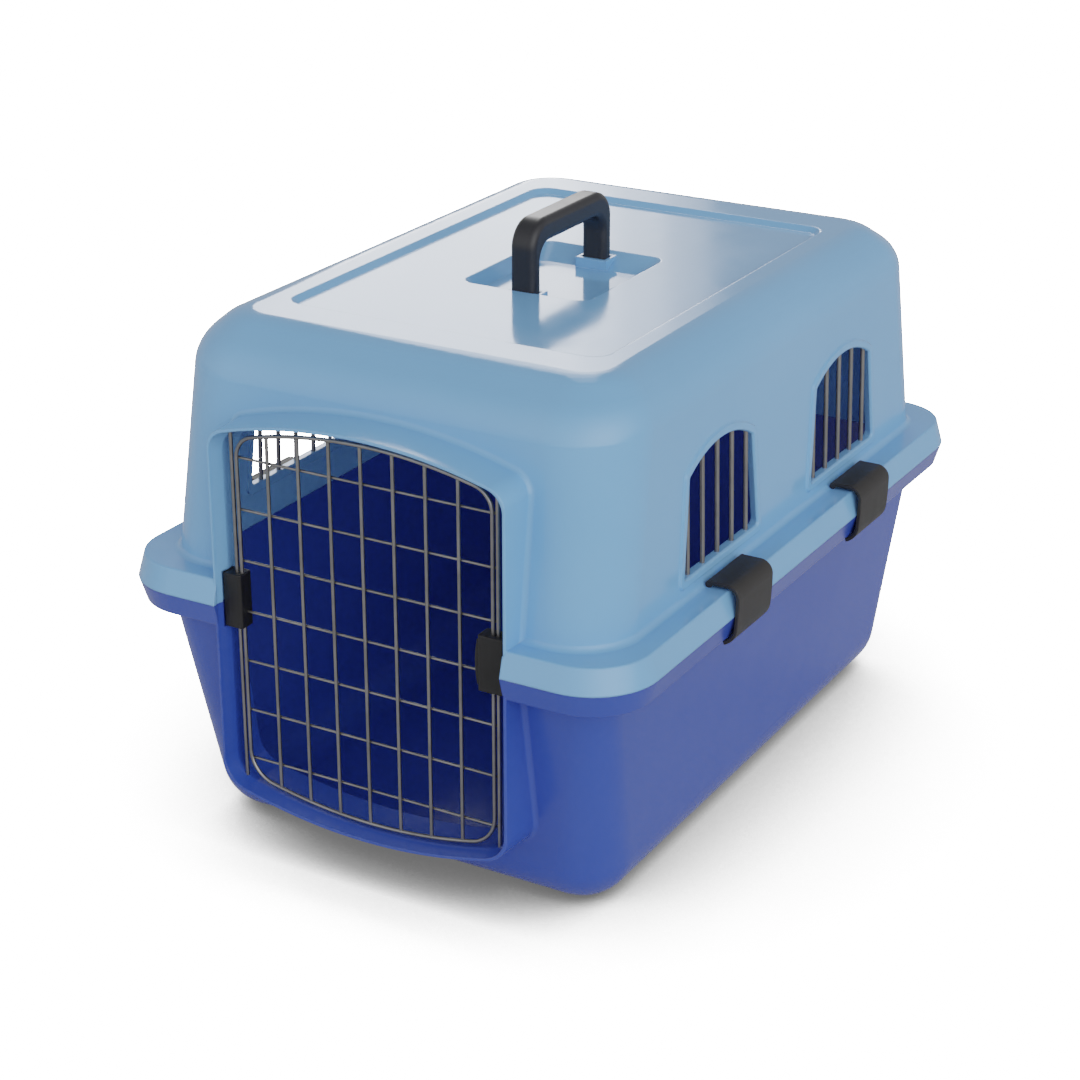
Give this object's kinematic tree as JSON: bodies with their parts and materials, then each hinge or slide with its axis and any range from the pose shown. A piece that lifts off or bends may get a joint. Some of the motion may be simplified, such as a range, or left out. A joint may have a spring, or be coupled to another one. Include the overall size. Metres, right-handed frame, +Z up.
{
  "type": "pet transport carrier",
  "caption": "Two-shell plastic carrier for a cat or small dog, with a hinged wire door, a squeeze latch, barred side windows, side clips and a top handle",
  "frame": {"origin": "on the ground, at the centre of the rim outline", "axes": "+Z up; the door faces -Y; +Y runs to the rear along the length; +X is the latch side of the door"},
  "size_m": [0.3416, 0.4804, 0.3496],
  "materials": {
    "base_plastic": "satin cobalt blue moulding",
    "hood_plastic": "semi-gloss sky blue moulding",
    "handle_plastic": "satin black moulding",
    "clip_plastic": "fine-grained charcoal moulding",
    "latch_plastic": "satin black moulding",
    "button_plastic": "satin black moulding",
    "wire": "plain drawn steel wire",
    "steel": "bright zinc-plated steel"
  },
  "bodies": {
    "carrier": {"base_shell": "base_plastic", "top_shell": "hood_plastic", "carry_handle": "handle_plastic", "handle_screws": "steel", "clip_hinge_pins": "steel", "hinge_rod": "wire", "window_bars_front_right": "wire", "window_bars_rear_right": "wire", "window_bars_front_left": "wire", "window_bars_rear_left": "wire"},
    "door": {"door_frame": "wire", "door_vertical_wires": "wire", "door_horizontal_wires": "wire", "hinge_block": "latch_plastic", "latch_housing": "latch_plastic", "latch_spring": "steel"},
    "latch_button": {"latch_button": "button_plastic"},
    "upper_bolt": {"upper_latch_rod": "wire"},
    "lower_bolt": {"lower_latch_rod": "wire"},
    "clip_front_right": {"clip_front_right": "clip_plastic"},
    "clip_front_left": {"clip_front_left": "clip_plastic"},
    "clip_rear_right": {"clip_rear_right": "clip_plastic"},
    "clip_rear_left": {"clip_rear_left": "clip_plastic"}
  },
  "joints": [
    {"name": "door_swing", "type": "hinge", "parent": "carrier", "child": "door", "pos_m": [-0.0857, -0.227, 0.1605], "axis": [0, 0, -1], "range_deg": [0, 100]},
    {"name": "latch_squeeze", "type": "slide", "parent": "door", "child": "latch_button", "axis": [1, 0, 0], "range_m": [0, 0.004], "stiffness_N_per_m": 250, "springref_m": -0.002, "deforming": ["latch_spring"]},
    {"name": "upper_bolt_draw", "type": "slide", "parent": "door", "child": "upper_bolt", "axis": [0, 0, -1], "range_m": [0, 0.006]},
    {"name": "lower_bolt_draw", "type": "slide", "parent": "door", "child": "lower_bolt", "axis": [0, 0, 1], "range_m": [0, 0.006]},
    {"name": "clip_front_right_open", "type": "hinge", "parent": "carrier", "child": "clip_front_right", "pos_m": [0.1514, -0.086, 0.1755], "axis": [0, -1, 0], "range_deg": [0, 80]},
    {"name": "clip_front_left_open", "type": "hinge", "parent": "carrier", "child": "clip_front_left", "pos_m": [-0.1514, -0.086, 0.1755], "axis": [0, 1, 0], "range_deg": [0, 80]},
    {"name": "clip_rear_right_open", "type": "hinge", "parent": "carrier", "child": "clip_rear_right", "pos_m": [0.1514, 0.086, 0.1755], "axis": [0, -1, 0], "range_deg": [0, 80]},
    {"name": "clip_rear_left_open", "type": "hinge", "parent": "carrier", "child": "clip_rear_left", "pos_m": [-0.1514, 0.086, 0.1755], "axis": [0, 1, 0], "range_deg": [0, 80]}
  ],
  "couplings": [
    {"joint": "upper_bolt_draw", "follows": "latch_squeeze", "ratio": 1.5},
    {"joint": "lower_bolt_draw", "follows": "latch_squeeze", "ratio": 1.5}
  ]
}
